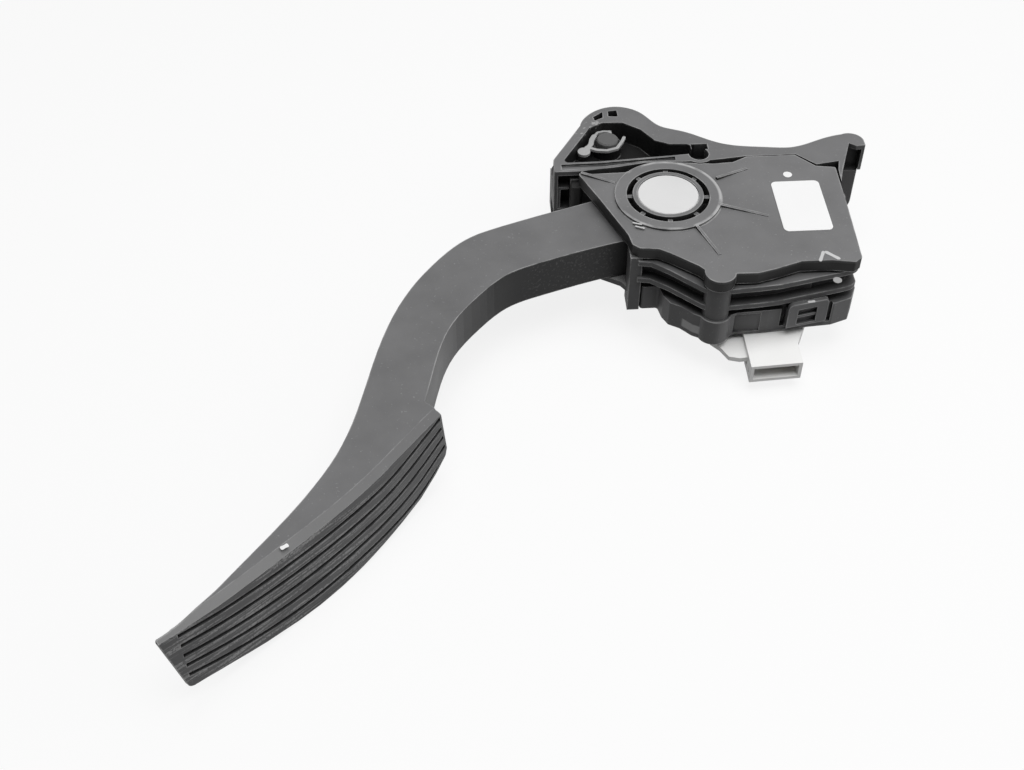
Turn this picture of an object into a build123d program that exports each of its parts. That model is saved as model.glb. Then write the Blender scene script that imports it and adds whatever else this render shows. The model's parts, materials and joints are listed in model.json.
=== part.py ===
from build123d import *
import os
from math import cos, radians, sin

os.makedirs("parts", exist_ok=True)

# Accelerator pedal module, in millimetres, as it stands in the car: +X to the driver's right,
# +Y forward to the bulkhead, +Z up. The origin is midway between the two bulkhead bolts, on the
# mounting face. Outlines are lists of (y, z) points measured from the pedal's axis.

# Mounting
bolt_spacing = 108.0
mount_from_face = 28.0
axis_behind_mount = 34.5
axis_below_centre = 19.5
bolt_hole_radius = 3.3
sleeve_wall = 1.7
lug_thickness = 6.5
lug_radius = 7.0

# Levels across the module, each measured inwards from the left face of the cover
cover_plate = 2.6
cover_skirt = 2.4
side_play = 0.6
arm_width = 16.6
floor_thickness = 2.4
lap_height = 5.5
chamber_height = 3.6
lower_floor = 2.0
flange_drop = 1.0
flange_thickness = 2.2
flange_pitch = 8.0
flange_reach = 4.0
wall = 2.4
lap = 2.2
fit = 0.1
band_depth = 12.0
recess_depth = 9.0

# Pivot
axle_radius = 9.0
axle_head_radius = 11.6
axle_head_height = 2.5
axle_end_radius = 7.5
axle_groove = 1.0
clip_thickness = 1.0
clip_reach = 2.0
running_gap = 0.05
bush_wall = 1.4
bush_flange = 0.5
bush_flange_radius = 12.5
barrel_radius = 15.0
collar_wall = 1.7
hub_rise = 1.2
slot_width = 2.25
spoke_width = 1.8
spoke_count = 8
ring_outer_radius = 20.1
ring_rise = 0.9

# Screws that clamp the three shells together
screw_radius = 1.75
screw_head_radius = 3.2
screw_head_height = 2.2
screw_tip_level = 1.3
screw_boss_radius = 3.4
front_boss_radius = 4.9
front_lobe_radius = 5.6
front_boss = (-43.1, 13.1)

# Pad
pad_bevel = 2.4
pad_normal = (-0.69, 0.724)
groove_count = 5
groove_width = 1.9
groove_depth = 1.1
pad_rim = 0.8
core_depth = 3.8
rib_thickness = 2.0

# Springs and the friction lever
friction_radius = 57.2
spring_z = friction_radius - 16.2
spring_seat_y = -9.0
spring_front_y = -34.6
seat_radius = 8.1
seat_thickness = 2.5
outer_wire = 1.8
outer_coil_radius = 6.8
outer_turns = 6
inner_wire = 1.2
inner_coil_radius = 3.9
inner_turns = 8
spigot_radius = 2.8
spigot_length = 4.0
lever_pin = (0.5, friction_radius - 11.2)
lever_pin_radius = 2.0
lever_boss_radius = 4.4
cheek_wall = 2.6
lining_thickness = 1.8
carrier_thickness = 4.2
friction_gap = 0.2
friction_wall = 2.6
lining_angles = (-9.5, 9.0)

# Sensor and connector
carrier_depth = 3.6
carrier_radius = 13.5
carrier_bore = 9.6
magnet_radius = 12.6
magnet_inner = 10.6
magnet_thickness = 2.0
board_thickness = 1.6
board_lift = 0.6
board_hole = 8.9
chip_thickness = 0.8
latch_top = 16.4
latch_foot = 27.4
latch_corner = 1.8
box_height = 7.6
box_wall = 2.0
box_y = (-34.0, 10.0)
box_z = (6.0, 52.0)
box_screws = [(-22.0, 56.5), (4.0, 56.5)]
box_screw_radius = 1.4
seal_width = 1.0
seal_height = 0.8
socket_low_z = 25.0
socket_width = 19.3
socket_height = 8.0
socket_wall = 1.3
socket_reach = 60.5
socket_slant = 1.3
socket_depth = 21.0
socket_drop = 0.8
tongue_drop = 2.8
tongue_thickness = 2.0
terminal_count = 6
terminal_pitch = 2.5
terminal_size = 0.8
terminal_tip = 5.0
terminal_foot_y = -29.0

# Small parts in the crest recess, the stops and the label
pin_place = (39.9, -18.6)
pin_radius = 4.3
pin_stem_radius = 2.5
pin_level = 2.0
pin_post_radius = 5.6
spring_clip_wire = 1.0
spring_clip_finger = 2.5
spring_clip_level = 3.5
spring_clip_sheet = 1.0
stop_gap = 0.6
label_thickness = 0.2

# Levels and radii that follow
seam = cover_plate + cover_skirt
arm_left = seam + side_play
arm_right = arm_left + arm_width
floor_top = arm_right + side_play
tray_end = floor_top + floor_thickness
lap_top = tray_end - lap_height
chamber_end = tray_end + chamber_height
lower_end = chamber_end + lower_floor
mid_depth = (arm_left + arm_right) / 2
head_seat = axle_head_height - hub_rise
collar_bore = axle_head_radius + running_gap
collar_radius = collar_bore + collar_wall
slot_radius = collar_radius + slot_width
bush_bore = axle_radius + running_gap
bush_length = (arm_width - carrier_depth) / 2
bush_radius = bush_bore + bush_wall
barrel_bore = bush_radius + running_gap
clip_level = tray_end + running_gap
axle_end = clip_level + clip_thickness + 0.2
screw_hole = screw_radius + 0.1
shell_end = friction_radius + friction_gap + friction_wall + 2.5
ear_end = shell_end + 19.1
inner_bosses = [(-20.5, -7.5), (-29.6, shell_end - 5.9), (14.0, shell_end - 9.2), (13.8, 22.0)]
all_bosses = [front_boss] + inner_bosses
sleeve_radius = bolt_hole_radius + sleeve_wall
bolts_z = (axis_below_centre - bolt_spacing / 2, axis_below_centre + bolt_spacing / 2)
lug_front = axis_behind_mount - lug_thickness
board_level = chamber_end - board_lift - board_thickness
box_end = lower_end + box_height
socket_top = lower_end + socket_drop
tongue_top = lower_end + tongue_drop
socket_end = socket_top + socket_height
socket_mid = socket_top + socket_height / 2
socket_mid_z = socket_low_z + socket_width / 2
terminals_z = [socket_mid_z + (k - (terminal_count - 1) / 2) * terminal_pitch for k in range(terminal_count)]
tail = (mid_depth - 7.3, mid_depth + 7.3)
fork = (tail[0] + cheek_wall, tail[1] - cheek_wall)
clip_seat = spring_clip_level + spring_clip_sheet

# Outlines
shell_points = [
    (-24.6, -16.9), (-26.2, -8.0), (-31.6, -0.8), (-37.0, 5.0), (-41.6, 10.0), (-42.2, 17.0),
    (-41.4, 27.5), (-40.6, 35.0), (-38.9, 42.4), (-35.6, shell_end - 5.5), (-34.2, shell_end),
    (19.7, shell_end), (19.7, -16.9),
]
cover_points = [
    (16.4, -32.8), (15.3, -27.0), (15.5, -14.5), (20.4, -4.5), (20.2, 8.5), (18.9, 20.0),
    (19.4, 28.0), (22.5, 33.6), (22.5, shell_end - 9.9), (15.2, shell_end - 3.1),
    (14.0, shell_end + 4.3), (-10.0, shell_end + 3.8), (-38.4, shell_end + 2.7),
    (-40.6, shell_end - 0.1), (-39.2, shell_end - 8.5), (-39.1, 43.0), (-42.3, 34.0), (-44.4, 26.5),
    (-44.2, 18.0), (-42.0, 8.0), (-39.4, 6.0), (-31.9, -3.4), (-29.4, -7.2), (-28.6, -14.0),
    (-26.4, -16.5), (-21.0, -17.4), (0.1, -25.8),
]
lower_points = [
    (-28.0, -12.2), (-28.0, -5.6), (-33.2, -4.6), (-37.2, -2.6), (-39.6, 1.4), (-43.6, 5.2),
    (-46.4, 10.0), (-46.6, 14.5), (-43.9, 21.0), (-43.2, 33.0), (-42.2, 42.0),
    (-40.9, shell_end - 4.5), (-38.4, shell_end + 2.3), (-33.0, shell_end + 4.7),
    (20.6, shell_end + 4.7), (20.6, -12.2),
]
floor_points = [
    (-24.5, -12.8), (-24.5, -16.9), (-21.2, -19.1), (-17.0, -26.0), (0.0, -31.5), (19.0, -34.5), (19.0, -12.8),
]
band_outer = [
    (46.1, -29.0), (54.6, -23.6), (58.2, -14.5), (53.6, -4.1), (44.2, 2.8), (40.6, 10.5),
    (31.9, 24.6), (28.1, 43.0), (27.5, shell_end - 10.0), (31.0, shell_end), (34.5, shell_end + 11.0),
]
band_inner = [
    (5.0, shell_end + 4.7), (12.5, shell_end + 5.2), (17.8, shell_end + 6.5), (16.2, shell_end - 2.6),
    (22.9, shell_end - 9.3), (22.9, 33.4),
    (21.3, 20.4), (20.9, 9.0), (21.0, -6.0), (19.2, -16.0), (17.3, -31.0), (17.3, -41.5),
]
recess_points = [
    (22.8, -38.2), (44.6, -25.4), (47.8, -20.0), (47.4, -12.0), (42.4, -5.2), (35.0, -0.5),
    (32.3, 5.0), (31.8, 13.0), (25.6, 13.0), (22.8, -23.3),
]
band_windows = [
    [(51.7, -23.3), (54.9, -19.2), (51.0, -19.4), (49.2, -22.8)],
    [(55.3, -16.9), (55.7, -13.4), (51.4, -13.3), (51.8, -17.1)],
]
tongue_points = [
    (-44.1, 12.6), (-47.6, 15.7), (-52.6, 18.2), (-53.7, 22.1), (-53.3, 26.0), (box_y[0] + 1.0, 26.0),
    (box_y[0] + 1.0, 14.0), (-42.0, 12.8),
]
rib_channel = [
    (18.4, -38.5), (18.8, -29.0), (20.6, -16.0), (22.0, -6.0), (22.0, 6.0), (24.2, 6.0),
    (21.9, -23.3), (21.7, -38.5),
]
band_hole = (25.5, 15.5)
arm_back = [
    (14.1, -5.1), (5.4, -28.7), (-1.3, -48.3), (-7.1, -63.8), (-12.8, -75.6), (-23.5, -86.6),
    (-39.8, -97.7), (-65.3, -107.9), (-90.9, -114.1), (-113.8, -121.0), (-130.7, -129.9),
    (-150.9, -144.1), (-173.6, -161.2),
]
arm_front = [
    (-94.6, -93.4), (-77.5, -89.6), (-60.3, -84.2), (-43.9, -72.9), (-33.1, -61.5),
    (-28.0, -50.0), (-20.4, -27.6), (-14.6, -3.5),
]
pad_face = [
    (-99.2, -88.6), (-107.1, -95.0), (-121.9, -106.4), (-138.0, -120.6), (-149.3, -132.2),
    (-160.4, -144.0), (-170.7, -155.4), (-178.4, -165.0), (-183.4, -171.6),
]
pad_thickness = [5.2, 5.2, 5.2, 5.2, 5.2, 5.0, 3.2, 1.6, 1.3]
pad_points = [
    (arm_left, 0.4), (26.4, 2.8), (29.6, 2.0), (34.2, -3.6), (38.6, -12.3), (40.4, -22.9),
    (41.6, -33.0), (42.8, -43.0), (43.6, -53.0), (43.8, -63.0), (43.1, -72.0), (41.0, -85.0),
    (38.4, -97.0), (36.9, -107.0), (36.4, -112.9), (23.4, -115.3), (arm_left, -118.6),
]
groove_line = [
    (8.6, 2.5), (9.4, 0.0), (12.2, -12.9), (13.9, -24.0), (14.0, -45.0), (13.5, -70.0),
    (11.9, -90.0), (9.6, -112.0),
]
groove_fan = [5.2, 5.35, 6.1, 6.0, 6.0, 6.1, 5.7, 5.1]
core_points = [
    (8.6, -18.0), (1.4, -32.0), (-5.3, -50.0), (-11.4, -66.0), (-17.4, -76.6), (-27.0, -86.0),
    (-42.0, -95.0), (-67.0, -104.6), (-92.0, -110.6), (-114.8, -117.6), (-130.0, -124.8),
    (-134.0, -122.6), (-119.0, -110.0), (-101.6, -97.6), (-76.4, -93.0), (-58.4, -87.4),
    (-41.2, -75.6), (-29.6, -63.2), (-24.8, -50.4), (-17.2, -28.0), (-15.0, -18.6),
]
core_ribs = [
    ((12.0, -34.0), (-34.0, -48.0)), ((-4.0, -56.0), (-40.0, -68.0)), ((-10.0, -86.0), (-46.0, -68.0)),
    ((-36.0, -110.0), (-48.0, -72.0)), ((-62.0, -112.0), (-66.0, -80.0)), ((-88.0, -118.0), (-90.0, -86.0)),
    ((-112.0, -126.0), (-108.0, -92.0)),
]
fins = [
    ((9.2, 19.8), (15.1, 32.6)), ((-6.5, 18.4), (-13.4, 35.8)), ((-17.6, 7.9), (-34.0, 14.3)),
    ((15.4, -31.4), (9.2, -19.0)),
]


def side(depth):
    """Plane at a depth behind the cover's left face, its sketch axes Y and Z from the pedal axis."""
    origin = (depth - mount_from_face, -axis_behind_mount, -axis_below_centre)
    return Plane(origin=origin, x_dir=(0, 1, 0), z_dir=(1, 0, 0))


def facing(depth, y, z, direction):
    """Plane at a point of the module that faces along Y, towards +1 or -1."""
    origin = (depth - mount_from_face, y - axis_behind_mount, z - axis_below_centre)
    return Plane(origin=origin, x_dir=(1, 0, 0), z_dir=(0, direction, 0))


def across(depth, base, mode):
    extrude(base.sketch, amount=depth[1] - depth[0], mode=mode)


def prism(depth, points, radius=0.0, inset=0.0, mode=Mode.ADD):
    """Outline carried from one depth to another, its corners rounded and its edge drawn in."""
    with BuildSketch(side(depth[0])) as base:
        with BuildLine() as edge:
            if radius:
                FilletPolyline(*points, radius=radius, close=True)
            else:
                Polyline(*points, close=True)
        make_face(edge.edges())
        if inset:
            offset(amount=-inset, mode=Mode.REPLACE)
    across(depth, base, mode)


def block(depth, y, z, mode=Mode.ADD):
    with BuildSketch(side(depth[0])) as base:
        with Locations(((y[0] + y[1]) / 2, (z[0] + z[1]) / 2)):
            Rectangle(y[1] - y[0], z[1] - z[0])
    across(depth, base, mode)


def posts(depth, places, radius, mode=Mode.ADD):
    with BuildSketch(side(depth[0])) as base:
        with Locations(*places):
            Circle(radius)
    across(depth, base, mode)


def ring(depth, inner, outer, place=(0, 0), mode=Mode.ADD):
    with BuildSketch(side(depth[0])) as base:
        with Locations(place):
            Circle(outer)
            Circle(inner, mode=Mode.SUBTRACT)
    across(depth, base, mode)


def on_ring(radius, angle):
    """Point about the pedal's axis, the angle measured from +Z towards +Y."""
    return (radius * sin(radians(angle)), radius * cos(radians(angle)))


def sector(depth, inner, outer, start, end, mode=Mode.ADD):
    middle = (start + end) / 2
    with BuildSketch(side(depth[0])) as base:
        with BuildLine() as edge:
            ThreePointArc(on_ring(outer, start), on_ring(outer, middle), on_ring(outer, end))
            Line(on_ring(outer, end), on_ring(inner, end))
            ThreePointArc(on_ring(inner, end), on_ring(inner, middle), on_ring(inner, start))
            Line(on_ring(inner, start), on_ring(outer, start))
        make_face(edge.edges())
    across(depth, base, mode)


def rod(depth, y, z, radius, length, direction=-1, mode=Mode.ADD):
    """Round bar along Y from a point of the module."""
    with BuildSketch(facing(depth, y, z, direction)) as base:
        Circle(radius)
    extrude(base.sketch, amount=length, mode=mode)


def lug(y, z):
    """Rounded lug whose far face lies on the bulkhead."""
    with BuildSketch(facing(mount_from_face, y, z, 1)) as base:
        with Locations((-lug_radius, 0)):
            SlotCenterToCenter(2 * lug_radius, 2 * lug_radius)
    extrude(base.sketch, amount=axis_behind_mount - y)


def fin(near, far):
    """Low wedge on the cover that falls away from the hub."""
    dy, dz = far[0] - near[0], far[1] - near[1]
    run = (dy * dy + dz * dz) ** 0.5
    origin = (0.4 - mount_from_face, near[0] - axis_behind_mount, near[1] - axis_below_centre)
    with BuildSketch(Plane(origin=origin, x_dir=(0, dy / run, dz / run), z_dir=(0, -dz / run, dy / run))) as base:
        with BuildLine() as edge:
            Polyline((0, 0), (run, 0), (run, 0.6), (0, 1.4), close=True)
        make_face(edge.edges())
    extrude(base.sketch, amount=0.6, both=True)


def strip(depth, points, width):
    """Band of one width along a line of points, with round ends and joints."""
    with BuildSketch(side(depth[0])) as base:
        for start, end in zip(points, points[1:]):
            with BuildLine() as middle:
                Line(start, end)
            trace(middle.line, line_width=width)
        with Locations(*points):
            Circle(width / 2)
    across(depth, base, Mode.ADD)


def coil(radius, wire, turns):
    """Compression spring between the front wall and the seat on the friction lever."""
    length = spring_seat_y - spring_front_y - wire
    start = (mid_depth - mount_from_face, spring_seat_y - wire / 2 - axis_behind_mount, spring_z - axis_below_centre)
    with BuildPart() as spring:
        with BuildLine() as path:
            Helix(pitch=length / turns, height=length, radius=radius, center=start, direction=(0, -1, 0))
        with BuildSketch(Plane(origin=path.line @ 0, z_dir=path.line % 0)) as section:
            Circle(wire / 2)
        sweep(section.sketch, path=path.line)
    return spring


def finish(piece, label):
    piece.part.label = label
    export_step(piece.part, f"parts/{label}.step")


# Main housing: a tray open to the left, with the crest, the saddle and two lugs along its back
with BuildPart() as main_housing:
    prism((seam, lap_top), shell_points, radius=1.6)
    prism((lap_top, tray_end), shell_points, radius=1.6, inset=lap)
    for k in range(2):
        level = seam + flange_drop + k * flange_pitch
        with BuildSketch(side(level)) as flange:
            with BuildLine() as edge:
                FilletPolyline(*shell_points, radius=1.6, close=True)
            make_face(edge.edges())
            offset(amount=flange_reach, mode=Mode.REPLACE)
            with Locations((-40.0, 25.8)):
                Rectangle(38.0, 80.0, mode=Mode.INTERSECT)
        extrude(flange.sketch, amount=flange_thickness)
    posts((seam, lap_top), [front_boss], front_boss_radius)
    block((seam, lower_end), (-28.4, -20.4), (-17.1, -12.6))

    # Hollow for the pedal, and the bay below it where the arm leaves
    prism((seam, lap_top - lap), shell_points, radius=1.6, inset=wall, mode=Mode.SUBTRACT)
    prism((seam, floor_top), shell_points, radius=1.6, inset=lap + 2.0, mode=Mode.SUBTRACT)
    block((seam, floor_top), (-20.4, 17.3), (-20.0, -8.0), mode=Mode.SUBTRACT)
    prism((floor_top, tray_end), floor_points, radius=1.0)

    # Crest, saddle and ear, one band at the level of the cover
    with BuildSketch(side(0)) as band:
        with BuildLine() as edge:
            Polyline(band_inner[-1], (24.8, -41.3), band_outer[0])
            Spline(*band_outer)
            ThreePointArc(band_outer[-1], (33.8, ear_end - 1.9), (30.6, ear_end))
            Polyline((30.6, ear_end), (27.1, ear_end), (26.8, ear_end - 3.6), (28.7, ear_end - 6.2),
                     (12.1, ear_end - 12.4), *band_inner)
        make_face(edge.edges())
        with Locations(band_hole):
            Circle(5.7)
    across((0, band_depth), band, Mode.ADD)
    prism((0, recess_depth), recess_points, radius=1.6, mode=Mode.SUBTRACT)
    prism((0, 0.7), rib_channel, radius=0.3, mode=Mode.SUBTRACT)
    for window in band_windows:
        prism((0, recess_depth), window, radius=0.3, mode=Mode.SUBTRACT)
    posts((0, band_depth), [band_hole], 3.9, mode=Mode.SUBTRACT)
    block((0, 7.0), (28.2, 31.6), (13.2, 19.6), mode=Mode.SUBTRACT)
    block((seam, lap_top), (17.3, 24.0), (-30.0, shell_end))
    prism((band_depth - 0.5, lap_top), [(17.3, -30.0), (24.0, -30.0), (31.0, -8.0), (29.0, 10.0), (17.3, 10.0)])
    prism((seam + 2.0, band_depth), [(2.0, shell_end - 2.0), (24.0, shell_end - 6.5), (28.0, shell_end + 3.5),
                                     (28.0, ear_end - 6.6), (12.1, ear_end - 12.4)])

    # Lugs on the bulkhead, the pocket in the ear and the pocket at the lower end
    block((band_depth - 0.5, lap_top), (17.3, axis_behind_mount), (-41.5, -29.5))
    block((band_depth - 0.5, lap_top), (22.0, axis_behind_mount), (shell_end - 8.5, shell_end + 4.5))
    block((band_depth - 0.5, mount_from_face), (lug_front, axis_behind_mount), (shell_end + 3.5, bolts_z[1] + lug_radius))
    for z in bolts_z:
        lug(lug_front, z)
        rod(mount_from_face, axis_behind_mount, z, sleeve_radius + 0.02, lug_thickness, mode=Mode.SUBTRACT)
    block((2.0, 13.0), (20.0, 31.0), (ear_end - 6.4, ear_end - 1.2), mode=Mode.SUBTRACT)
    block((2.0, 18.0), (16.0, 22.4), (-40.0, -31.6), mode=Mode.SUBTRACT)
    block((8.0, 18.0), (17.8, 22.5), (-40.1, -38.9))
    block((8.0, 9.0), (17.8, 22.5), (-40.1, -35.6))
    block((4.0, 18.0), (17.3, 22.5), (-35.2, -30.9))

    # Screw bosses, the friction wall and the seat of the springs
    posts((seam, tray_end), inner_bosses, screw_boss_radius)
    posts((seam - 1.0, lower_end), all_bosses, screw_hole, mode=Mode.SUBTRACT)
    inner = friction_radius + friction_gap
    sector((seam + 0.4, floor_top), inner, inner + friction_wall, -29.0, 10.0)
    block((mid_depth - 7.6, lap_top), (-38.6, spring_front_y), (spring_z - 7.6, spring_z + 7.6))
    block((lap_top - 1.0, floor_top), (-35.2, spring_front_y), (spring_z - 7.6, spring_z + 7.6))
    rod(mid_depth, spring_front_y, spring_z, spigot_radius, spigot_length, direction=1)

    # Pivot hole in the floor, and the post of the pin in the recess
    posts((floor_top - 1.0, tray_end), [(0, 0)], axle_end_radius + running_gap, mode=Mode.SUBTRACT)
    posts((clip_seat, recess_depth), [pin_place], pin_post_radius)
    posts((clip_seat, band_depth - 1.0), [pin_place], pin_stem_radius, mode=Mode.SUBTRACT)

finish(main_housing, "main_housing")


# Hub cover: the plate on the left, with the raised hub, its slots and four fins
with BuildPart() as hub_cover:
    prism((0, seam), cover_points, radius=0.9)
    prism((cover_plate, seam), cover_points, radius=0.9, inset=2.2, mode=Mode.SUBTRACT)
    posts((0, seam), [front_boss], front_lobe_radius)
    posts((cover_plate - 1.0, seam), inner_bosses, screw_boss_radius)
    posts((-1.0, seam), [band_hole], 6.3, mode=Mode.SUBTRACT)
    ring((-ring_rise, 0.5), slot_radius, ring_outer_radius)
    ring((-hub_rise, 0.5), collar_bore, collar_radius)
    ring((0, cover_plate), collar_radius, slot_radius, mode=Mode.SUBTRACT)
    with BuildSketch(side(0)) as spokes:
        with PolarLocations((collar_radius + slot_radius) / 2, spoke_count, start_angle=4.0):
            Rectangle(slot_width + 0.6, spoke_width)
    extrude(spokes.sketch, amount=cover_plate)
    posts((cover_plate - 1.0, seam), [(0, 0)], bush_flange_radius)
    for near, far in fins:
        fin(near, far)
    prism((-0.3, 0.5), [(17.6, -4.0), (20.2, -3.4), (20.0, 8.0), (17.9, 8.6)], radius=0.6)
    posts((-hub_rise - 1.0, seam), [(0, 0)], axle_radius + running_gap, mode=Mode.SUBTRACT)
    posts((-hub_rise - 1.0, head_seat), [(0, 0)], collar_bore, mode=Mode.SUBTRACT)
    posts((screw_tip_level, seam), all_bosses, screw_hole, mode=Mode.SUBTRACT)

finish(hub_cover, "hub_cover")


# Pedal: barrel, tail, arm and pad in one moulding
with BuildPart() as lever:
    with BuildSketch(side(arm_left)) as spine:
        with BuildLine() as edge:
            Spline(*arm_back)
            Polyline(arm_back[-1], (-179.0, -168.2), (-181.9, -170.9), pad_face[-1])
            Spline(*reversed(pad_face))
            Line(pad_face[0], arm_front[0])
            Spline(*arm_front)
            Line(arm_front[-1], arm_back[0])
        make_face(edge.edges())
        Circle(barrel_radius)
    extrude(spine.sketch, amount=arm_width)

    # Cored from the right, with ribs left standing
    with BuildSketch(side(arm_right - core_depth)) as core:
        with BuildLine() as edge:
            Polyline(*core_points, close=True)
        make_face(edge.edges())
        for start, end in core_ribs:
            with BuildLine() as middle:
                Line(start, end)
            trace(middle.line, line_width=rib_thickness, mode=Mode.SUBTRACT)
    extrude(core.sketch, amount=arm_width, mode=Mode.SUBTRACT)

    # Tail: a bar that opens into two cheeks for the friction lever
    block(tail, (lever_pin[0] - lever_boss_radius, lever_pin[0] + lever_boss_radius), (10.0, lever_pin[1]))
    posts(tail, [lever_pin], lever_boss_radius)
    block(fork, (-10.0, 10.0), (lever_pin[1] - 9.0, lever_pin[1] + 6.0), mode=Mode.SUBTRACT)
    posts(tail, [lever_pin], lever_pin_radius + 0.02, mode=Mode.SUBTRACT)
    posts((arm_left, arm_right), [(0, 0)], barrel_bore, mode=Mode.SUBTRACT)
    posts((arm_right - carrier_depth, arm_right), [(0, 0)], carrier_radius + 0.02, mode=Mode.SUBTRACT)

# The pad's plate, with its outline drawn on a plane across the pad
pad_back = [(y - pad_normal[0] * t, z - pad_normal[1] * t) for (y, z), t in zip(pad_face, pad_thickness)]
pad_top = (pad_face[0][0] + 2.3, pad_face[0][1] + 1.9)
top_back = (pad_top[0] - pad_normal[0] * pad_thickness[0], pad_top[1] - pad_normal[1] * pad_thickness[0])
pad_origin = (-mount_from_face, pad_face[0][0] - axis_behind_mount, pad_face[0][1] - axis_below_centre)
pad_plane = Plane(origin=pad_origin, x_dir=(1, 0, 0), z_dir=(0, pad_normal[0], pad_normal[1]))

with BuildPart() as pad:
    with BuildSketch(side(arm_left)) as slab:
        with BuildLine() as edge:
            Line(pad_top, pad_face[0])
            Spline(*pad_face)
            Line(pad_face[-1], pad_back[-1])
            Spline(*reversed(pad_back), top_back)
            Line(top_back, pad_top)
        make_face(edge.edges())
    extrude(slab.sketch, amount=40)
    with BuildSketch(pad_plane) as plan:
        with BuildLine() as edge:
            FilletPolyline(*pad_points, radius=2.5, close=True)
        make_face(edge.edges())
    extrude(plan.sketch, amount=20, both=True, mode=Mode.INTERSECT)

with BuildPart() as grooves:
    with BuildSketch(side(arm_left)) as layer:
        floor_line = [(y - pad_normal[0] * groove_depth, z - pad_normal[1] * groove_depth)
                      for y, z in [pad_top] + pad_face]
        with BuildLine() as edge:
            Line(pad_top, pad_face[0])
            Spline(*pad_face)
            Line(pad_face[-1], floor_line[-1])
            Spline(*reversed(floor_line))
            Line(floor_line[0], pad_top)
        make_face(edge.edges())
    extrude(layer.sketch, amount=40)
    with BuildSketch(pad_plane) as lines:
        for k in range(groove_count):
            middle = [(x + k * gap, v) for (x, v), gap in zip(groove_line, groove_fan)]
            left = [(x - groove_width / 2, v) for x, v in middle]
            right = [(x + groove_width / 2, v) for x, v in middle]
            with BuildLine() as edge:
                Spline(*left)
                Line(left[-1], right[-1])
                Spline(*reversed(right))
                Line(right[0], left[0])
            make_face(edge.edges())
        with BuildLine() as edge:
            FilletPolyline(*pad_points, radius=2.5, close=True)
        plan_inset = make_face(edge.edges(), mode=Mode.PRIVATE)
        add(offset(plan_inset, amount=-pad_rim, mode=Mode.PRIVATE), mode=Mode.INTERSECT)
    extrude(lines.sketch, amount=20, both=True, mode=Mode.INTERSECT)

# The bevel down the pad's left edge: a wedge carried along the curve of the face
pad_end = (pad_face[-1][0] - 1.6, pad_face[-1][1] - 2.0)
with BuildPart() as bevel:
    with BuildLine(side(arm_left)) as edge:
        Spline(pad_top, *pad_face, pad_end)
    with BuildSketch(Plane(origin=edge.line @ 0, x_dir=(1, 0, 0), z_dir=edge.line % 0)) as wedge:
        with BuildLine() as rim:
            Polyline((-1.0, -pad_bevel - 1.0), (pad_bevel + 1.0, 1.0), (-1.0, 1.0), close=True)
        make_face(rim.edges())
    sweep(wedge.sketch, path=edge.line)

# What stands past the pad's outline at its lower end
with BuildPart() as past_end:
    with BuildSketch(pad_plane) as rest:
        with Locations((arm_left + 20.0, -120.0)):
            Rectangle(50, 30)
        with BuildLine() as edge:
            FilletPolyline(*pad_points, radius=2.5, close=True)
        make_face(edge.edges(), mode=Mode.SUBTRACT)
    extrude(rest.sketch, amount=20, both=True)

with BuildPart() as pedal_arm:
    add(lever.part)
    add(pad.part)
    add(past_end.part, mode=Mode.SUBTRACT)
    add(bevel.part, mode=Mode.SUBTRACT)
    add(grooves.part, mode=Mode.SUBTRACT)

finish(pedal_arm, "pedal_arm")


# Bushes, and the ring of magnets in the barrel's right face
with BuildPart() as bush_left:
    ring((arm_left, arm_left + bush_length), bush_bore, bush_radius)
    ring((arm_left - bush_flange, arm_left), bush_bore, bush_flange_radius)
finish(bush_left, "bush_left")

with BuildPart() as bush_right:
    ring((arm_right - carrier_depth - bush_length, arm_right - carrier_depth), bush_bore, bush_radius)
finish(bush_right, "bush_right")

with BuildPart() as magnet_carrier:
    ring((arm_right - carrier_depth, arm_right + bush_flange), carrier_bore, carrier_radius)
    for start in (-60.0, 120.0):
        sector((arm_right - magnet_thickness, arm_right), magnet_inner, magnet_radius, start, start + 120.0,
               mode=Mode.SUBTRACT)
finish(magnet_carrier, "magnet_carrier")

with BuildPart() as sensor_magnets:
    for start in (-60.0, 120.0):
        sector((arm_right - magnet_thickness, arm_right), magnet_inner, magnet_radius, start, start + 120.0)
finish(sensor_magnets, "sensor_magnets")


# Friction lever: spring seat, pivot boss and the arc that carries the lining
lining_inner = friction_radius - lining_thickness
with BuildPart() as friction_lever:
    between = (fork[0] + fit, fork[1] - fit)
    posts(between, [lever_pin], lever_boss_radius - 0.4)
    rod(mid_depth, spring_seat_y + seat_thickness, spring_z, seat_radius, seat_thickness)
    block(between, (spring_seat_y + seat_thickness - 0.5, lever_pin[0]), (spring_z - 2.5, spring_z + 7.5))
    block(between, (-3.0, 4.0), (lever_pin[1], lining_inner - 2.9))
    sector(tail, lining_inner - carrier_thickness, lining_inner, lining_angles[0], lining_angles[1])
    rod(mid_depth, spring_seat_y, spring_z, spigot_radius, spigot_length)
    posts(between, [lever_pin], lever_pin_radius + 0.02, mode=Mode.SUBTRACT)
finish(friction_lever, "friction_lever")

with BuildPart() as friction_lining:
    sector(tail, lining_inner, friction_radius, lining_angles[0], lining_angles[1])
finish(friction_lining, "friction_lining")

with BuildPart() as friction_pin:
    posts(tail, [lever_pin], lever_pin_radius)
finish(friction_pin, "friction_pin")

outer_spring = coil(outer_coil_radius, outer_wire, outer_turns)
finish(outer_spring, "outer_spring")
inner_spring = coil(inner_coil_radius, inner_wire, inner_turns)
finish(inner_spring, "inner_spring")


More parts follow.
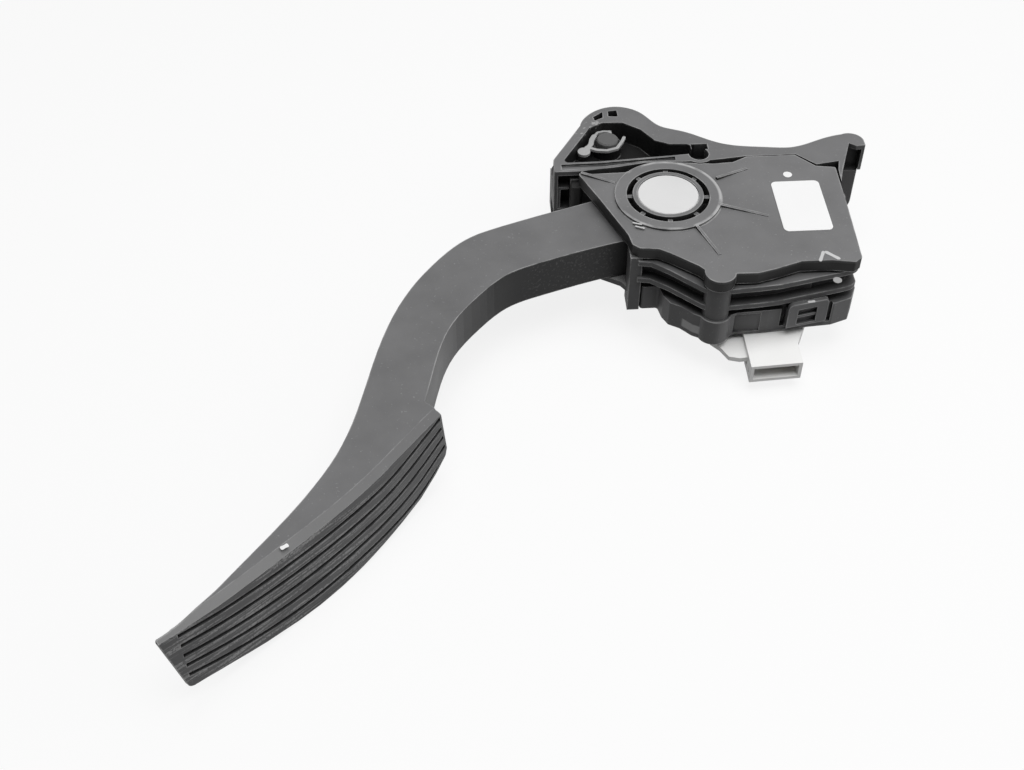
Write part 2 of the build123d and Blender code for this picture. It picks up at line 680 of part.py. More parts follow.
# Axle, fixed in the cover and the floor, and the clip that keeps it
with BuildPart() as pivot_axle:
    posts((-hub_rise, head_seat), [(0, 0)], axle_head_radius)
    posts((head_seat, floor_top), [(0, 0)], axle_radius)
    posts((floor_top, axle_end), [(0, 0)], axle_end_radius)
    ring((clip_level - 0.02, clip_level + clip_thickness + 0.02), axle_end_radius - axle_groove,
         axle_end_radius + 1.0, mode=Mode.SUBTRACT)
    chamfer(pivot_axle.faces().sort_by(Axis.X)[0].edges(), 0.4)
finish(pivot_axle, "pivot_axle")

with BuildPart() as axle_clip:
    ring((clip_level, clip_level + clip_thickness), axle_end_radius - axle_groove + 0.02, axle_end_radius + clip_reach)
    block((clip_level, clip_level + clip_thickness), (-1.6, 1.6), (5.0, 10.0), mode=Mode.SUBTRACT)
finish(axle_clip, "axle_clip")


# Lower cover: the shell on the right, lapped round the tray, with a snap latch on its front wall
with BuildPart() as latch:
    prism((latch_top, latch_foot), [(-45.4, 39.8), (-42.2, 55.3), (-40.3, 55.3), (-43.5, 39.8)])
    fillet(latch.edges().filter_by(Axis.Y).group_by(Axis.X)[0], latch_corner)

with BuildPart() as lower_cover:
    prism((lap_top + fit, lower_end), lower_points, radius=1.2)
    posts((lap_top + fit, lower_end), [front_boss], front_lobe_radius + 0.2)
    prism((lap_top, tray_end + fit), shell_points, radius=1.6, inset=lap - fit, mode=Mode.SUBTRACT)
    prism((tray_end, chamber_end), lower_points, radius=1.2, inset=2.0, mode=Mode.SUBTRACT)
    posts((tray_end + fit, chamber_end), [front_boss], front_boss_radius - 0.2)
    posts((tray_end + fit, chamber_end), inner_bosses, screw_boss_radius)
    posts((tray_end + fit, chamber_end), box_screws, 2.6)
    posts((chamber_end - board_lift, chamber_end), [(-29.0, 3.0), (-29.0, 47.0), (6.0, 47.0), (6.0, 14.0)], 1.6)
    block((chamber_end - 0.1, lower_end), (terminal_foot_y - 1.4, terminal_foot_y + 1.4),
          (terminals_z[0] - 1.4, terminals_z[-1] + 1.4), mode=Mode.SUBTRACT)
    posts((lap_top, lower_end), all_bosses, screw_hole, mode=Mode.SUBTRACT)
    posts((tray_end + 1.5, lower_end), box_screws, box_screw_radius + 0.05, mode=Mode.SUBTRACT)

    # A sunk panel in the front wall, and the latch between its two slits
    block((21.0, 29.8), (-47.0, -43.0), (20.4, 30.2), mode=Mode.SUBTRACT)
    for z in (37.9, 55.3):
        block((lap_top, 28.6), (-47.0, -40.6 + 0.06 * (z - 37.9)), (z, z + 1.9), mode=Mode.SUBTRACT)
    add(latch.part)
    prism((lap_top + fit, latch_foot), [(-45.4, 39.8), (-42.2, 55.3), (-39.6, 55.3), (-41.0, 39.8)])
    prism((latch_top + 2.8, latch_foot - 1.1), [(-47.0, 43.7), (-45.0, 51.0), (-41.5, 51.0), (-43.1, 43.7)],
          mode=Mode.SUBTRACT)
    prism((22.2, 23.4), [(-44.2, 43.5), (-42.6, 51.2), (-41.0, 51.2), (-42.6, 43.5)])
finish(lower_cover, "lower_cover")


# Circuit board, the two sensor chips and the terminals
with BuildPart() as circuit_board:
    prism((board_level, board_level + board_thickness), [(-31.0, -1.0), (-31.0, 50.0), (8.6, 50.0), (8.6, 17.0),
                                                        (16.0, 17.0), (16.0, -1.0)], radius=1.5)
    posts((board_level, board_level + board_thickness), [(0, 0)], board_hole, mode=Mode.SUBTRACT)
    for z in terminals_z:
        block((board_level, board_level + board_thickness), (terminal_foot_y - 0.45, terminal_foot_y + 0.45),
              (z - 0.45, z + 0.45), mode=Mode.SUBTRACT)
finish(circuit_board, "circuit_board")

with BuildPart() as sensor_chips:
    block((board_level - chip_thickness, board_level), (-15.0, -10.0), (1.0, 7.0))
    block((board_level - chip_thickness, board_level), (-3.0, 3.0), (10.0, 15.0))
finish(sensor_chips, "sensor_chips")

half = terminal_size / 2
with BuildPart() as terminals:
    for z in terminals_z:
        block((board_level, socket_mid + half), (terminal_foot_y - half, terminal_foot_y + half), (z - half, z + half))
        block((socket_mid - half, socket_mid + half), (terminal_tip - socket_reach, terminal_foot_y + half),
              (z - half, z + half))
finish(terminals, "terminals")


# Connector housing: a shallow box on the lower cover, with the socket out to the front
with BuildPart() as connector_housing:
    block((lower_end, box_end), box_y, box_z)
    block((lower_end, box_end - box_wall), (box_y[0] + box_wall, box_y[1] - box_wall),
          (box_z[0] + box_wall, box_z[1] - box_wall), mode=Mode.SUBTRACT)
    block((lower_end, lower_end + 2.5), (-25.4, 9.0), (box_z[1] - 1.0, 60.5))
    block((socket_top, socket_end), (-socket_reach, box_y[0] + 1.0), (socket_low_z, socket_low_z + socket_width))
    prism((socket_top, socket_top + 5.0), [(box_y[0] + 1.0, 43.0), (-50.0, 44.0), (box_y[0] + 1.0, 51.5)])
    prism((tongue_top, tongue_top + tongue_thickness), tongue_points, radius=0.6)
    block((socket_top + socket_wall, socket_end - socket_wall), (-socket_reach - 1.0, socket_depth - socket_reach),
          (socket_low_z + socket_wall, socket_low_z + socket_width - socket_wall), mode=Mode.SUBTRACT)
    prism((socket_top - 1.0, socket_end + 1.0), [
        (-socket_reach - 1.0, socket_low_z - 1.0), (-socket_reach, socket_low_z - 1.0),
        (socket_slant - socket_reach, socket_low_z + socket_width + 1.0),
        (-socket_reach - 1.0, socket_low_z + socket_width + 1.0),
    ], mode=Mode.SUBTRACT)
    block((socket_mid + 0.6, socket_mid + 1.8), (2.5 - socket_reach, 10.0 - socket_reach),
          (socket_low_z - 1.0, socket_low_z + 0.5), mode=Mode.SUBTRACT)
    for z in terminals_z:
        block((socket_mid - half - 0.05, socket_mid + half + 0.05),
              (socket_depth - socket_reach - 1.0, box_y[0] + box_wall + 0.5), (z - half - 0.05, z + half + 0.05),
              mode=Mode.SUBTRACT)
    edge_in = (box_wall - seal_width) / 2
    for drawn, mode in ((edge_in, Mode.SUBTRACT), (edge_in + seal_width, Mode.ADD)):
        block((lower_end, lower_end + seal_height), (box_y[0] + drawn, box_y[1] - drawn),
              (box_z[0] + drawn, box_z[1] - drawn), mode=mode)
    block((lower_end, box_end - box_wall), (box_y[0] + box_wall, box_y[1] - box_wall),
          (box_z[0] + box_wall, box_z[1] - box_wall), mode=Mode.SUBTRACT)
    posts((lower_end, lower_end + 2.5), box_screws, box_screw_radius + 0.1, mode=Mode.SUBTRACT)
finish(connector_housing, "connector_housing")

with BuildPart() as housing_seal:
    level = (lower_end, lower_end + seal_height)
    block(level, (box_y[0] + edge_in, box_y[1] - edge_in), (box_z[0] + edge_in, box_z[1] - edge_in))
    drawn = edge_in + seal_width
    block(level, (box_y[0] + drawn, box_y[1] - drawn), (box_z[0] + drawn, box_z[1] - drawn), mode=Mode.SUBTRACT)
finish(housing_seal, "housing_seal")


# Screws
with BuildPart() as cover_screws:
    posts((lower_end, lower_end + screw_head_height), all_bosses, screw_head_radius)
    posts((screw_tip_level + 0.3, lower_end), all_bosses, screw_radius)
    with BuildSketch(side(lower_end + 1.0)) as drive:
        with Locations(*all_bosses):
            RegularPolygon(1.5, 6)
    extrude(drive.sketch, amount=screw_head_height, mode=Mode.SUBTRACT)
finish(cover_screws, "cover_screws")

with BuildPart() as connector_screws:
    top = lower_end + 2.5
    posts((top, top + 1.8), box_screws, 2.6)
    posts((tray_end + 2.0, top), box_screws, box_screw_radius)
    with BuildSketch(side(top + 0.8)) as drive:
        with Locations(*box_screws):
            RegularPolygon(1.2, 6)
    extrude(drive.sketch, amount=1.8, mode=Mode.SUBTRACT)
finish(connector_screws, "connector_screws")


# Steel sleeves for the two bulkhead bolts
with BuildPart() as mount_sleeves:
    for z in bolts_z:
        rod(mount_from_face, axis_behind_mount, z, sleeve_radius, lug_thickness)
        rod(mount_from_face, axis_behind_mount, z, bolt_hole_radius, lug_thickness, mode=Mode.SUBTRACT)
finish(mount_sleeves, "mount_sleeves")


# Rubber stops for the released and the pressed pedal
with BuildPart() as idle_bumper:
    prism((mid_depth - 5.0, mid_depth + 5.0), [(-20.4, -16.8), (-17.8 - stop_gap, -16.8), (-16.85 - stop_gap, -12.9),
                                              (-20.4, -12.9)], radius=0.5)
finish(idle_bumper, "idle_bumper")

with BuildPart() as full_stop_bumper:
    block((5.4, 17.5), (13.1 + stop_gap, 17.3), (-34.9, -31.1))
    fillet(full_stop_bumper.edges().filter_by(Axis.X).sort_by(Axis.Y)[:2], 1.2)
finish(full_stop_bumper, "full_stop_bumper")


# Pin and spring clip in the crest's recess
with BuildPart() as recess_pin:
    posts((pin_level, clip_seat), [pin_place], pin_radius)
    posts((clip_seat, band_depth - 1.1), [pin_place], pin_stem_radius - 0.02)
    chamfer(recess_pin.faces().sort_by(Axis.X)[0].edges(), 0.5)
finish(recess_pin, "recess_pin")

with BuildPart() as retaining_clip:
    level = (spring_clip_level, clip_seat)
    y, z = pin_place
    strip(level, [(y - 5.8, z - 9.8), (y - 3.4, z - 7.9)], 2.6)
    strip(level, [(y - 3.4, z - 7.9), (y - 1.2, z - 6.6), (y + 1.6, z - 6.0), (y + 4.0, z - 4.8)], 2.0)
    strip(level, [(y + 4.0, z - 4.8), (y + 6.3, z - 3.2), (y + 6.9, z - 0.8), (y + 6.7, z + 1.8), (y + 5.6, z + 1.9),
                  (y + 5.1, z - 0.6)], spring_clip_wire)
    strip(level, [(y - 3.4, z - 7.6), (y - 5.0, z - 4.6), (y - 5.6, z - 0.7), (y - 4.2, z + 3.5), (y - 0.2, z + 5.9),
                  (y + 2.4, z + 7.0)], 1.3)
    posts(level, [(y - 5.8, z - 9.8)], spring_clip_finger)
finish(retaining_clip, "retaining_clip")

with BuildPart() as label_plate:
    prism((-label_thickness, 0), [(-22.7, 40.0), (6.2, 40.0), (6.2, 58.3), (-22.7, 58.3)], radius=2.0)
finish(label_plate, "label_plate")
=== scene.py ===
import json
from math import cos, pi, sin
import bpy
from mathutils import Matrix, Vector


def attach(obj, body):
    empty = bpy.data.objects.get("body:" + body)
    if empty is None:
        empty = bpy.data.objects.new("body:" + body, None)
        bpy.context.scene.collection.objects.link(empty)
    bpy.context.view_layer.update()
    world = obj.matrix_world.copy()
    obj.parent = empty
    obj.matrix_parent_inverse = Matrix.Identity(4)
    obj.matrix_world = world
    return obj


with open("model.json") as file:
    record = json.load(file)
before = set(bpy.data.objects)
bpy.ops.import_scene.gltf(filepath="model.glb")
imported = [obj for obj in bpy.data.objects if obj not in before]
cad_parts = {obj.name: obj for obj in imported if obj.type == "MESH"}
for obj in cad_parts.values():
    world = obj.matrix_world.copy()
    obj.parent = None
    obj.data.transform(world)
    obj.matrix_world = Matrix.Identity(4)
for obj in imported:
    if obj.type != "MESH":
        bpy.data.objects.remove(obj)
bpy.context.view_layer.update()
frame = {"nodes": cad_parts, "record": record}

MM = 0.001
LEFT = (-1.0, 0.0, 0.0)

# Where the pedal's axis and the cover's left face stand in the row frame, in metres
AXIS_Y = -0.0345
AXIS_Z = -0.0195
FACE_X = -0.028


def at(depth, y, z):
    """Point from its depth behind the cover's face and its place from the pedal's axis, in millimetres."""
    return Vector((FACE_X + depth * MM, AXIS_Y + y * MM, AXIS_Z + z * MM))


# Camera: 340 mm above the cover's face, looking down at it from the pad's side
CAMERA_PLACE = (-340, -415.58, -83.53)
camera_data = bpy.data.cameras.new("camera")
camera_data.lens = 50
camera_data.sensor_width = 36
camera_data.sensor_fit = "HORIZONTAL"
camera_data.clip_start = 0.01
camera = bpy.data.objects.new("camera", camera_data)
bpy.context.scene.collection.objects.link(camera)
right = Vector((0, -0.05931, 0.99824))
up = Vector((-0.68770, 0.72469, 0.04305))
back = right.cross(up)
turned = Matrix((right, up, back)).transposed().to_4x4()
camera.matrix_world = Matrix.Translation(at(*CAMERA_PLACE)) @ turned
bpy.context.scene.camera = camera
bpy.context.scene.view_settings.view_transform = "Standard"


# Materials
def node(tree, kind, **inputs):
    """New node with the values of its inputs, a space in their names written as an underscore."""
    made = tree.nodes.new(kind)
    for name, value in inputs.items():
        made.inputs[name.replace("_", " ")].default_value = value
    return made


def math(tree, operation, first, second):
    """Output of a math node whose two inputs are sockets or numbers."""
    made = tree.nodes.new("ShaderNodeMath")
    made.operation = operation
    for socket, value in zip(made.inputs, (first, second)):
        if isinstance(value, bpy.types.NodeSocket):
            tree.links.new(value, socket)
        else:
            socket.default_value = value
    return made.outputs[0]


def times(tree, first, *others):
    """Product of sockets and numbers."""
    for other in others:
        first = math(tree, "MULTIPLY", first, other)
    return first


def spread(tree, value, low, high, out_low=0.0, out_high=1.0):
    """Value carried from one range to another and held within it."""
    made = tree.nodes.new("ShaderNodeMapRange")
    for name, number in (("From Min", low), ("From Max", high), ("To Min", out_low), ("To Max", out_high)):
        made.inputs[name].default_value = number
    tree.links.new(value, made.inputs["Value"])
    return made.outputs["Result"]


def blend(tree, amount, first, second):
    """Colour between two colours, each a socket or three numbers, by the socket amount."""
    made = tree.nodes.new("ShaderNodeMix")
    made.data_type = "RGBA"
    tree.links.new(amount, made.inputs["Factor"])
    for name, value in (("A", first), ("B", second)):
        socket = [s for s in made.inputs if s.name == name and s.type == "RGBA"][0]
        if isinstance(value, bpy.types.NodeSocket):
            tree.links.new(value, socket)
        else:
            socket.default_value = (*value, 1)
    return [s for s in made.outputs if s.type == "RGBA"][0]


def noise(tree, vector, scale, detail=3.0):
    made = node(tree, "ShaderNodeTexNoise", Scale=scale, Detail=detail)
    tree.links.new(vector, made.inputs["Vector"])
    return made.outputs["Fac"]


def grey(level):
    return (level, level, level)


def along(tree, vector, direction):
    """Length of a vector along a direction, which is a socket or three numbers."""
    made = tree.nodes.new("ShaderNodeVectorMath")
    made.operation = "DOT_PRODUCT"
    tree.links.new(vector, made.inputs[0])
    if isinstance(direction, bpy.types.NodeSocket):
        tree.links.new(direction, made.inputs[1])
    else:
        made.inputs[1].default_value = direction
    return made.outputs["Value"]


def inside(tree, place, depth, y, z, soft=0.5):
    """1 within a box given in the module's millimetres, falling to 0 over a soft border."""
    low = at(depth[0], y[0], z[0])
    high = at(depth[1], y[1], z[1])
    border = soft * MM
    parts = tree.nodes.new("ShaderNodeSeparateXYZ")
    tree.links.new(place, parts.inputs[0])
    held = 1.0
    for value, start, end in zip(parts.outputs, low, high):
        held = times(tree, spread(tree, value, start - border, start), held)
        held = times(tree, spread(tree, value, end + border, end), held)
    return held


def facing(tree, direction, low=0.7, high=0.9):
    """1 where the surface faces a direction."""
    flat = node(tree, "ShaderNodeNewGeometry").outputs["True Normal"]
    return spread(tree, along(tree, flat, direction), low, high)


# What every plastic shares: the reach and tone of its painted shade in crevices, and the radius and tone
# of its lightened edges, which are partly wear and partly painted highlight
CREVICE = 0.010
CREVICE_SHADE_TONE = 0.04
EDGE_RADIUS = 0.0009
EDGE_WEAR_AND_HIGHLIGHT_TONE = grey(0.42)
SAMPLES = 8


def plastic(name, colour, roughness, grain=0.25, mottle=0.3, crevice_shade=0.0, wear_and_edge_highlight=0.0, specular=0.5, dust=0.0,
            extra=None):
    """Moulded plastic: fine grain, uneven gloss and tone, painted shade in its crevices, and lightened
    edges that are partly wear and partly painted highlight.
    """
    material = bpy.data.materials.new(name)
    material.use_nodes = True
    tree = material.node_tree
    shader = tree.nodes["Principled BSDF"]
    shader.inputs["Specular IOR Level"].default_value = specular
    place = node(tree, "ShaderNodeTexCoord").outputs["Object"]
    fine = noise(tree, place, 1800.0)
    wide = noise(tree, place, 60.0, 5.0)
    tone = blend(tree, wide, [c * (1 - mottle) for c in colour], [c * (1 + mottle) for c in colour])
    if dust:
        specks = spread(tree, noise(tree, place, 1100.0, 1.0), 0.70, 0.76, 0.0, dust)
        tone = blend(tree, specks, tone, [min(1, c * 4 + 0.05) for c in colour])
    if extra:
        tone = extra(tree, place, tone)
    # Painted shade: the colour is darkened almost to black in crevices, recesses and gaps between parts,
    # where the ambient occlusion finds them closed in
    if crevice_shade:
        shade = node(tree, "ShaderNodeAmbientOcclusion", Distance=CREVICE)
        shade.samples = SAMPLES
        open_part = shade.outputs["AO"]
        tone = blend(tree, spread(tree, open_part, 0.22, 0.82, 1.0 - crevice_shade, 1.0),
                     [c * CREVICE_SHADE_TONE for c in colour], tone)
    # Edges lightened partly as wear and partly as a painted highlight: where the bevel normal turns from
    # the flat face, the colour goes toward a light grey, as if rounded edges caught the light
    if wear_and_edge_highlight:
        edge = node(tree, "ShaderNodeBevel", Radius=EDGE_RADIUS)
        edge.samples = SAMPLES
        flat = node(tree, "ShaderNodeNewGeometry").outputs["True Normal"]
        rubbed = spread(tree, along(tree, edge.outputs["Normal"], flat), 0.985, 0.86, 0.0, wear_and_edge_highlight)
        patchy = spread(tree, noise(tree, place, 160.0), 0.36, 0.58, 0.15, 1.0)
        rubbed = times(tree, rubbed, patchy, spread(tree, open_part, 0.35, 0.7))
        tone = blend(tree, rubbed, tone, EDGE_WEAR_AND_HIGHLIGHT_TONE)
    bump = node(tree, "ShaderNodeBump", Strength=grain, Distance=0.00012)
    tree.links.new(fine, bump.inputs["Height"])
    gloss = spread(tree, wide, 0.3, 0.7, roughness - 0.06, roughness + 0.1)
    if crevice_shade:
        gloss = math(tree, "MAXIMUM", gloss, spread(tree, open_part, 0.7, 0.2, 0.4, 0.95))
    tree.links.new(gloss, shader.inputs["Roughness"])
    tree.links.new(tone, shader.inputs["Base Color"])
    tree.links.new(bump.outputs["Normal"], shader.inputs["Normal"])
    return material


def metallic(material, amount=1.0):
    material.node_tree.nodes["Principled BSDF"].inputs["Metallic"].default_value = amount
    return material


# Directions: up along the pad, then out of the pad, the bevel, the arm's inner face and the shell's front
PAD_ALONG = (0.0, 0.724, 0.69)
PAD_FACING = (0.0, -0.69, 0.724)
BEVEL_FACING = (-0.7071, -0.488, 0.512)
INNER_FACING = (0.0, -0.94, 0.34)
SHELL_FACING = (0.0, -0.9, -0.44)
# Near-black tone that the painted shade below blends toward
NEAR_BLACK_SHADE = grey(0.01)


def arm_wear_and_light(tree, place, tone):
    """Rubbed streaks along the pad, a painted highlight on its bevel, painted shade on the pad's face and
    the arm's inner face, and scuffs near the root.
    """
    run = along(tree, place, PAD_ALONG)
    on_pad = times(tree, facing(tree, PAD_FACING, 0.80, 0.92), spread(tree, run, -0.168, -0.172))
    stretched = tree.nodes.new("ShaderNodeCombineXYZ")
    drift = spread(tree, run, -0.30, -0.20, 0.006, 0.0)
    tree.links.new(math(tree, "ADD", along(tree, place, (1.0, 0.0, 0.0)), drift), stretched.inputs[0])
    tree.links.new(times(tree, run, 0.05), stretched.inputs[1])
    streak = noise(tree, stretched.outputs[0], 800.0)
    speck = noise(tree, place, 1500.0, 2.0)
    rubbed = times(tree, spread(tree, streak, 0.48, 0.60), spread(tree, speck, 0.34, 0.56),
                   spread(tree, run, -0.195, -0.225, 0.25, 1.0), on_pad)
    tone = blend(tree, rubbed, tone, grey(0.52))
    # Painted highlight: the bevel between the arm's top and the pad is lightened, as if it caught the
    # light
    bevel_highlight = spread(tree, run, -0.19, -0.27, 0.15, 0.75)
    bevel_highlight = times(tree, facing(tree, BEVEL_FACING, 0.93, 0.985), bevel_highlight)
    tone = blend(tree, bevel_highlight, tone, grey(0.26))
    # Painted shade: the pad's face, turned away from the key lamp, is darkened by a quarter
    tone = blend(tree, times(tree, on_pad, 0.25), tone, NEAR_BLACK_SHADE)
    # Painted shade: the arm's inner face, turned away from the lamps, is darkened almost to black; the
    # scuffs below lie on it near the root
    inner = times(tree, facing(tree, INNER_FACING, 0.75, 0.92), spread(tree, run, -0.166, -0.160))
    tone = blend(tree, times(tree, inner, 0.8), tone, NEAR_BLACK_SHADE)
    spots = spread(tree, noise(tree, place, 950.0, 4.0), 0.56, 0.66)
    root = inside(tree, place, (8, 20), (-50, -18), (-52, -24), 6.0)
    return blend(tree, times(tree, spots, root, inner, 0.45), tone, grey(0.16))


def painted_side_shade(tree, tone, amount):
    """Painted shade: darker wherever the surface turns away from the left, where the key lamp stands."""
    flat = facing(tree, LEFT, 0.5, 0.8)
    return blend(tree, spread(tree, flat, 1.0, 0.0, 0.0, amount), tone, NEAR_BLACK_SHADE)


def housing_shade_light_and_scratches(tree, place, tone):
    """Painted shade on the sides, the recess in the crest painted near black as shade, painted light on
    the plate by the arm's root, and scratches on the crest's tip.
    """
    tone = painted_side_shade(tree, tone, 0.42)
    # Painted shade: the recess in the crest is painted almost black
    recess = inside(tree, place, (0.8, 11), (21, 49), (-40.6, 14.5))
    tone = blend(tree, recess, tone, grey(0.006))
    # Painted light: the plate by the arm's root, where it faces the left, is painted light grey as if lit
    lit_plate = times(tree, inside(tree, place, (20, 24), (-32, -14), (-34, -16.5)), facing(tree, LEFT))
    tone = blend(tree, lit_plate, tone, grey(0.6))
    scratch = spread(tree, noise(tree, place, 420.0, 4.0), 0.56, 0.62)
    scratched = inside(tree, place, (-1, 0.5), (40, 52), (-30, -22), 2.0)
    return blend(tree, times(tree, scratch, scratched, 0.7), tone, grey(0.45))


def shell_shade_and_wear(tree, place, tone):
    """Painted shade on the faces turned down the pedal, and one rubbed patch beside the rim."""
    # Painted shade: faces turned down the pedal, away from the lamps, are darkened by about a third
    tone = blend(tree, times(tree, facing(tree, SHELL_FACING, 0.75, 0.92), 0.35), tone, NEAR_BLACK_SHADE)
    patch = inside(tree, place, (25.5, 28.6), (-45, -39), (2.2, 7.4), 0.6)
    return blend(tree, times(tree, patch, 0.8), tone, grey(0.45))


def cover_shade_and_highlight(tree, place, tone):
    """Painted shade on the sides and skirt, and a patchy painted highlight round the collar."""
    tone = painted_side_shade(tree, tone, 0.75)
    # Painted highlight: a patchy light band round the collar's outer edge, as if its rim caught the light
    level = tree.nodes.new("ShaderNodeCombineXYZ")
    tree.links.new(along(tree, place, (0.0, 1.0, 0.0)), level.inputs[1])
    tree.links.new(along(tree, place, (0.0, 0.0, 1.0)), level.inputs[2])
    away = tree.nodes.new("ShaderNodeVectorMath")
    away.operation = "DISTANCE"
    tree.links.new(level.outputs[0], away.inputs[0])
    away.inputs[1].default_value = (0.0, AXIS_Y, AXIS_Z)
    radius = away.outputs["Value"]
    collar_highlight = times(tree, spread(tree, radius, 0.0188, 0.0194), spread(tree, radius, 0.0208, 0.0203),
                 spread(tree, noise(tree, place, 90.0), 0.45, 0.6), 0.8)
    tone = blend(tree, collar_highlight, tone, grey(0.5))
    # Painted shade: the cover's skirt, below the plate's edge, is darkened almost to black
    skirt = inside(tree, place, (1.3, 6), (-60, 40), (-60, 90), 0.6)
    return blend(tree, times(tree, skirt, 0.88), tone, NEAR_BLACK_SHADE)


BLACK = (0.152, 0.152, 0.154)
# NYLON and the looks below: the crevice amount is painted shade in crevices and gaps, and the edge amount
# lightens edges partly as wear and partly as painted highlight
NYLON = {"roughness": 0.5, "crevice_shade": 0.97, "wear_and_edge_highlight": 0.9, "specular": 0.22, "dust": 0.12}
looks = {
    "glass_filled_nylon": plastic("black nylon", BLACK, **NYLON),
    "connector_nylon": plastic("white nylon", (0.90, 0.90, 0.89), 0.5, 0.1, 0.02, crevice_shade=0.12),
    "axle_aluminium": metallic(plastic("dull aluminium", grey(0.64), 0.6, 0.1, 0.06), 0.25),
    "steel": metallic(plastic("steel", (0.42, 0.42, 0.43), 0.35, 0.1, 0.1)),
    "bronze": metallic(plastic("bronze", (0.45, 0.32, 0.16), 0.4, 0.1, 0.1)),
    "rubber": plastic("rubber", grey(0.03), 0.75, crevice_shade=0.6, specular=0.3),
    "board": plastic("board", (0.04, 0.16, 0.07), 0.4),
    "magnet": plastic("ferrite", (0.06, 0.06, 0.065), 0.5),
    "lining": plastic("lining", (0.25, 0.2, 0.14), 0.8),
    "label": plastic("label", grey(0.88), 0.6, 0.05, 0.02),
}
own_looks = {
    "pedal_arm": plastic("arm nylon", BLACK, extra=arm_wear_and_light, **NYLON),
    "main_housing": plastic("housing nylon", BLACK, extra=housing_shade_light_and_scratches, **NYLON),
    "lower_cover": plastic("shell nylon", BLACK, extra=shell_shade_and_wear, **NYLON),
    # The hub cover's nylon is made 8% lighter than the same nylon elsewhere, as painted light on the cover
    "hub_cover": plastic("cover nylon", [c * 1.08 for c in BLACK], extra=cover_shade_and_highlight, **NYLON),
    "retaining_clip": plastic("clip steel", grey(0.38), 0.5, 0.1, 0.15),
    "recess_pin": plastic("pin nylon", grey(0.11), 0.6, specular=0.3),
}
slot_of = {entry["node"]: entry["material_slot"] for entry in frame["record"]["subparts"]}
for name, piece in frame["nodes"].items():
    piece.data.materials.clear()
    piece.data.materials.append(own_looks.get(name) or looks[slot_of[name]])


# Marks: flat chips of paint and chalk, sunk a little into the surface they lie on
MARK_SUNK = 0.06
MARK_PROUD = 0.04
chalk = plastic("chalk", grey(0.56), 0.8, 0.3, 0.25)
paint = plastic("white paint", grey(0.86), 0.6, 0.1, 0.03)
smudge = plastic("smudge", grey(0.32), 0.8, 0.3, 0.3)


def chip(name, depth, outline, look, body="housing"):
    """Thin flat chip on a face that looks left, its outline in the module's millimetres."""
    mesh = bpy.data.meshes.new(name)
    count = len(outline)
    points = [at(level, y, z) for level in (depth - MARK_SUNK, depth + MARK_PROUD) for y, z in outline]
    faces = [tuple(range(count)), tuple(range(2 * count - 1, count - 1, -1))]
    faces += [(k, k + count, (k + 1) % count + count, (k + 1) % count) for k in range(count)]
    mesh.from_pydata(points, [], faces)
    mesh.materials.append(look)
    made = bpy.data.objects.new(name, mesh)
    bpy.context.scene.collection.objects.link(made)
    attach(made, body)


def disc(y, z, radius):
    """Slightly uneven round outline."""
    angles = [2 * pi * k / 28 for k in range(28)]
    return [(y + radius * (1 + 0.03 * sin(3 * a)) * cos(a), z - radius * sin(a)) for a in angles]


def stroke(start, end, width):
    """Outline of a straight stroke with tapered ends."""
    (y0, z0), (y1, z1) = start, end
    dy, dz = y1 - y0, z1 - z0
    half = width / 2 / (dy * dy + dz * dz) ** 0.5
    sides = [(0.0, 0.5), (0.12, 1.0), (0.55, 0.85), (0.9, 1.0), (1.0, 0.4)]
    left = [(y0 + t * dy - w * half * dz, z0 + t * dz + w * half * dy) for t, w in sides]
    right = [(y0 + t * dy + w * half * dz, z0 + t * dz - w * half * dy) for t, w in reversed(sides)]
    return left + right


chip("cover_dot", 0, disc(10.5, 47.5, 1.7), paint)
chip("chalk_left", 0, stroke((-39.6, 49.6), (-34.2, 52.0), 1.3), chalk)
chip("chalk_right", 0, stroke((-34.4, 52.4), (-38.9, 57.0), 1.5), chalk)
chip("dash_upper", -0.9, stroke((-15.3, -15.3), (-16.6, -11.9), 0.7), chalk)
chip("dash_lower", -0.9, stroke((-17.3, -14.6), (-18.9, -11.1), 0.7), chalk)
chip("flange_dot", 6.0, disc(-43.4, 56.1, 1.6), smudge)
chip("latch_chip", 16.4, stroke((-43.3, 46.9), (-43.0, 49.7), 1.2), chalk)
chip("arm_nick", 5.6, stroke((-152.6, -137.9), (-151.2, -135.6), 1.5), paint, "pedal")


# Stage: a white table under the module as it lies on its right side, clear from below
TABLE_DEPTH = 44.4
TABLE_REACH = 3000
TABLE_COLOUR = 0.85
TABLE_BOUNCE = 0.3
TABLE_GLOW = 0.85
corners = [(-TABLE_REACH, -TABLE_REACH), (TABLE_REACH, -TABLE_REACH),
           (TABLE_REACH, TABLE_REACH), (-TABLE_REACH, TABLE_REACH)]
table_mesh = bpy.data.meshes.new("table")
table_mesh.from_pydata([at(TABLE_DEPTH, y, z) for y, z in corners], [], [(0, 1, 2, 3)])
table_mesh.flip_normals()
table = bpy.data.objects.new("table", table_mesh)
bpy.context.scene.collection.objects.link(table)
table_look = bpy.data.materials.new("table")
table_look.use_nodes = True
tree = table_look.node_tree
tree.nodes.clear()


def mixed(tree, factor, first, second):
    """Shader between two others."""
    made = node(tree, "ShaderNodeMixShader")
    for socket, source in zip(made.inputs, (factor, first, second)):
        tree.links.new(source, socket)
    return made.outputs[0]


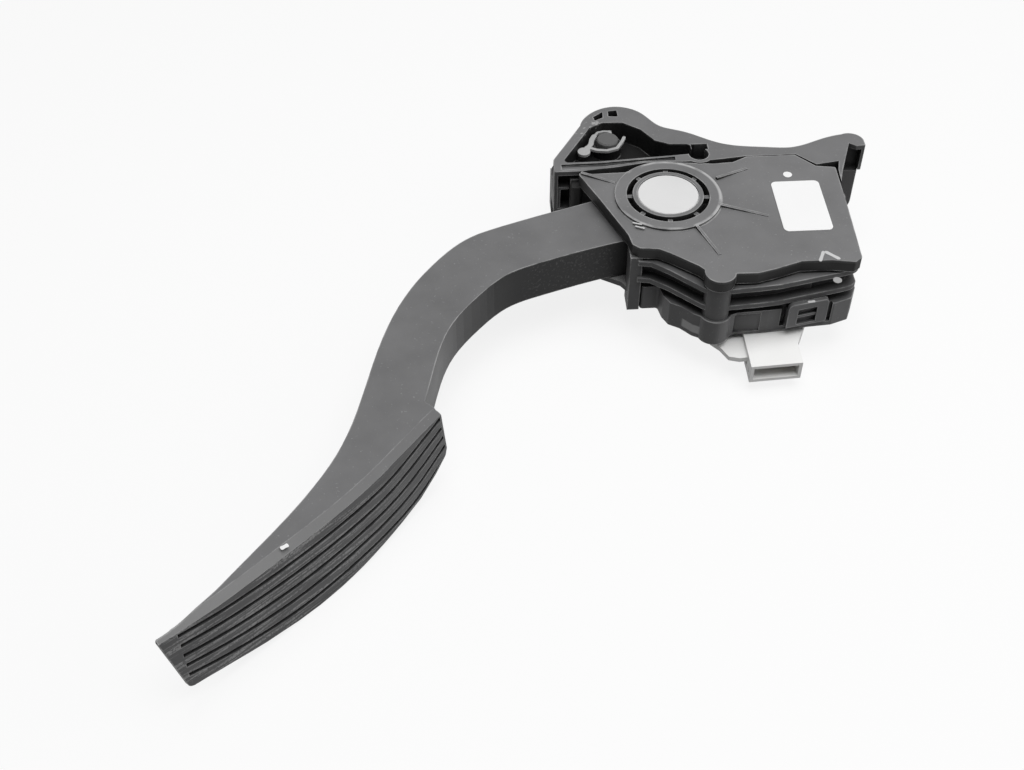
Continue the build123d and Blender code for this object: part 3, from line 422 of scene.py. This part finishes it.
paths = node(tree, "ShaderNodeLightPath")
seen = math(tree, "MAXIMUM", paths.outputs["Is Camera Ray"], paths.outputs["Is Glossy Ray"])
matt = node(tree, "ShaderNodeBsdfDiffuse")
tree.links.new(blend(tree, paths.outputs["Is Camera Ray"], grey(TABLE_BOUNCE), grey(TABLE_COLOUR)),
               matt.inputs["Color"])
glow = node(tree, "ShaderNodeEmission", Color=(1, 1, 1, 1), Strength=1.0)
front = mixed(tree, times(tree, seen, TABLE_GLOW), matt.outputs[0], glow.outputs[0])
clear = node(tree, "ShaderNodeBsdfTransparent")
behind = node(tree, "ShaderNodeNewGeometry").outputs["Backfacing"]
out = node(tree, "ShaderNodeOutputMaterial")
tree.links.new(mixed(tree, behind, front, clear.outputs[0]), out.inputs[0])
table_mesh.materials.append(table_look)

# World: white where it is seen, a soft grey where it lights
AMBIENT = 0.08
world = bpy.data.worlds.new("studio")
bpy.context.scene.world = world
world.use_nodes = True
tree = world.node_tree
tree.nodes.clear()
paths = node(tree, "ShaderNodeLightPath")
ambient = node(tree, "ShaderNodeBackground", Color=(1, 1, 1, 1), Strength=AMBIENT)
white = node(tree, "ShaderNodeBackground", Color=(1, 1, 1, 1), Strength=1.0)
shown = math(tree, "MAXIMUM", paths.outputs["Is Camera Ray"], paths.outputs["Is Glossy Ray"])
shown = math(tree, "MAXIMUM", shown, paths.outputs["Is Transmission Ray"])
out = node(tree, "ShaderNodeOutputWorld")
tree.links.new(mixed(tree, shown, ambient.outputs[0], white.outputs[0]), out.inputs[0])

LAMP_SIZE = 0.8
LAMP_TARGET = (0, -60, -40)


def lamp(name, place, power):
    """Square soft lamp at a point of the module's own space, aimed at the module."""
    data = bpy.data.lights.new(name, "AREA")
    data.size = LAMP_SIZE
    data.energy = power
    made = bpy.data.objects.new(name, data)
    bpy.context.scene.collection.objects.link(made)
    made.location = at(*place)
    made.rotation_euler = (at(*LAMP_TARGET) - made.location).to_track_quat("-Z", "Y").to_euler()


lamp("key", (-950, -120, 60), 9.6)
lamp("side", (-600, -250, 900), 2.5)
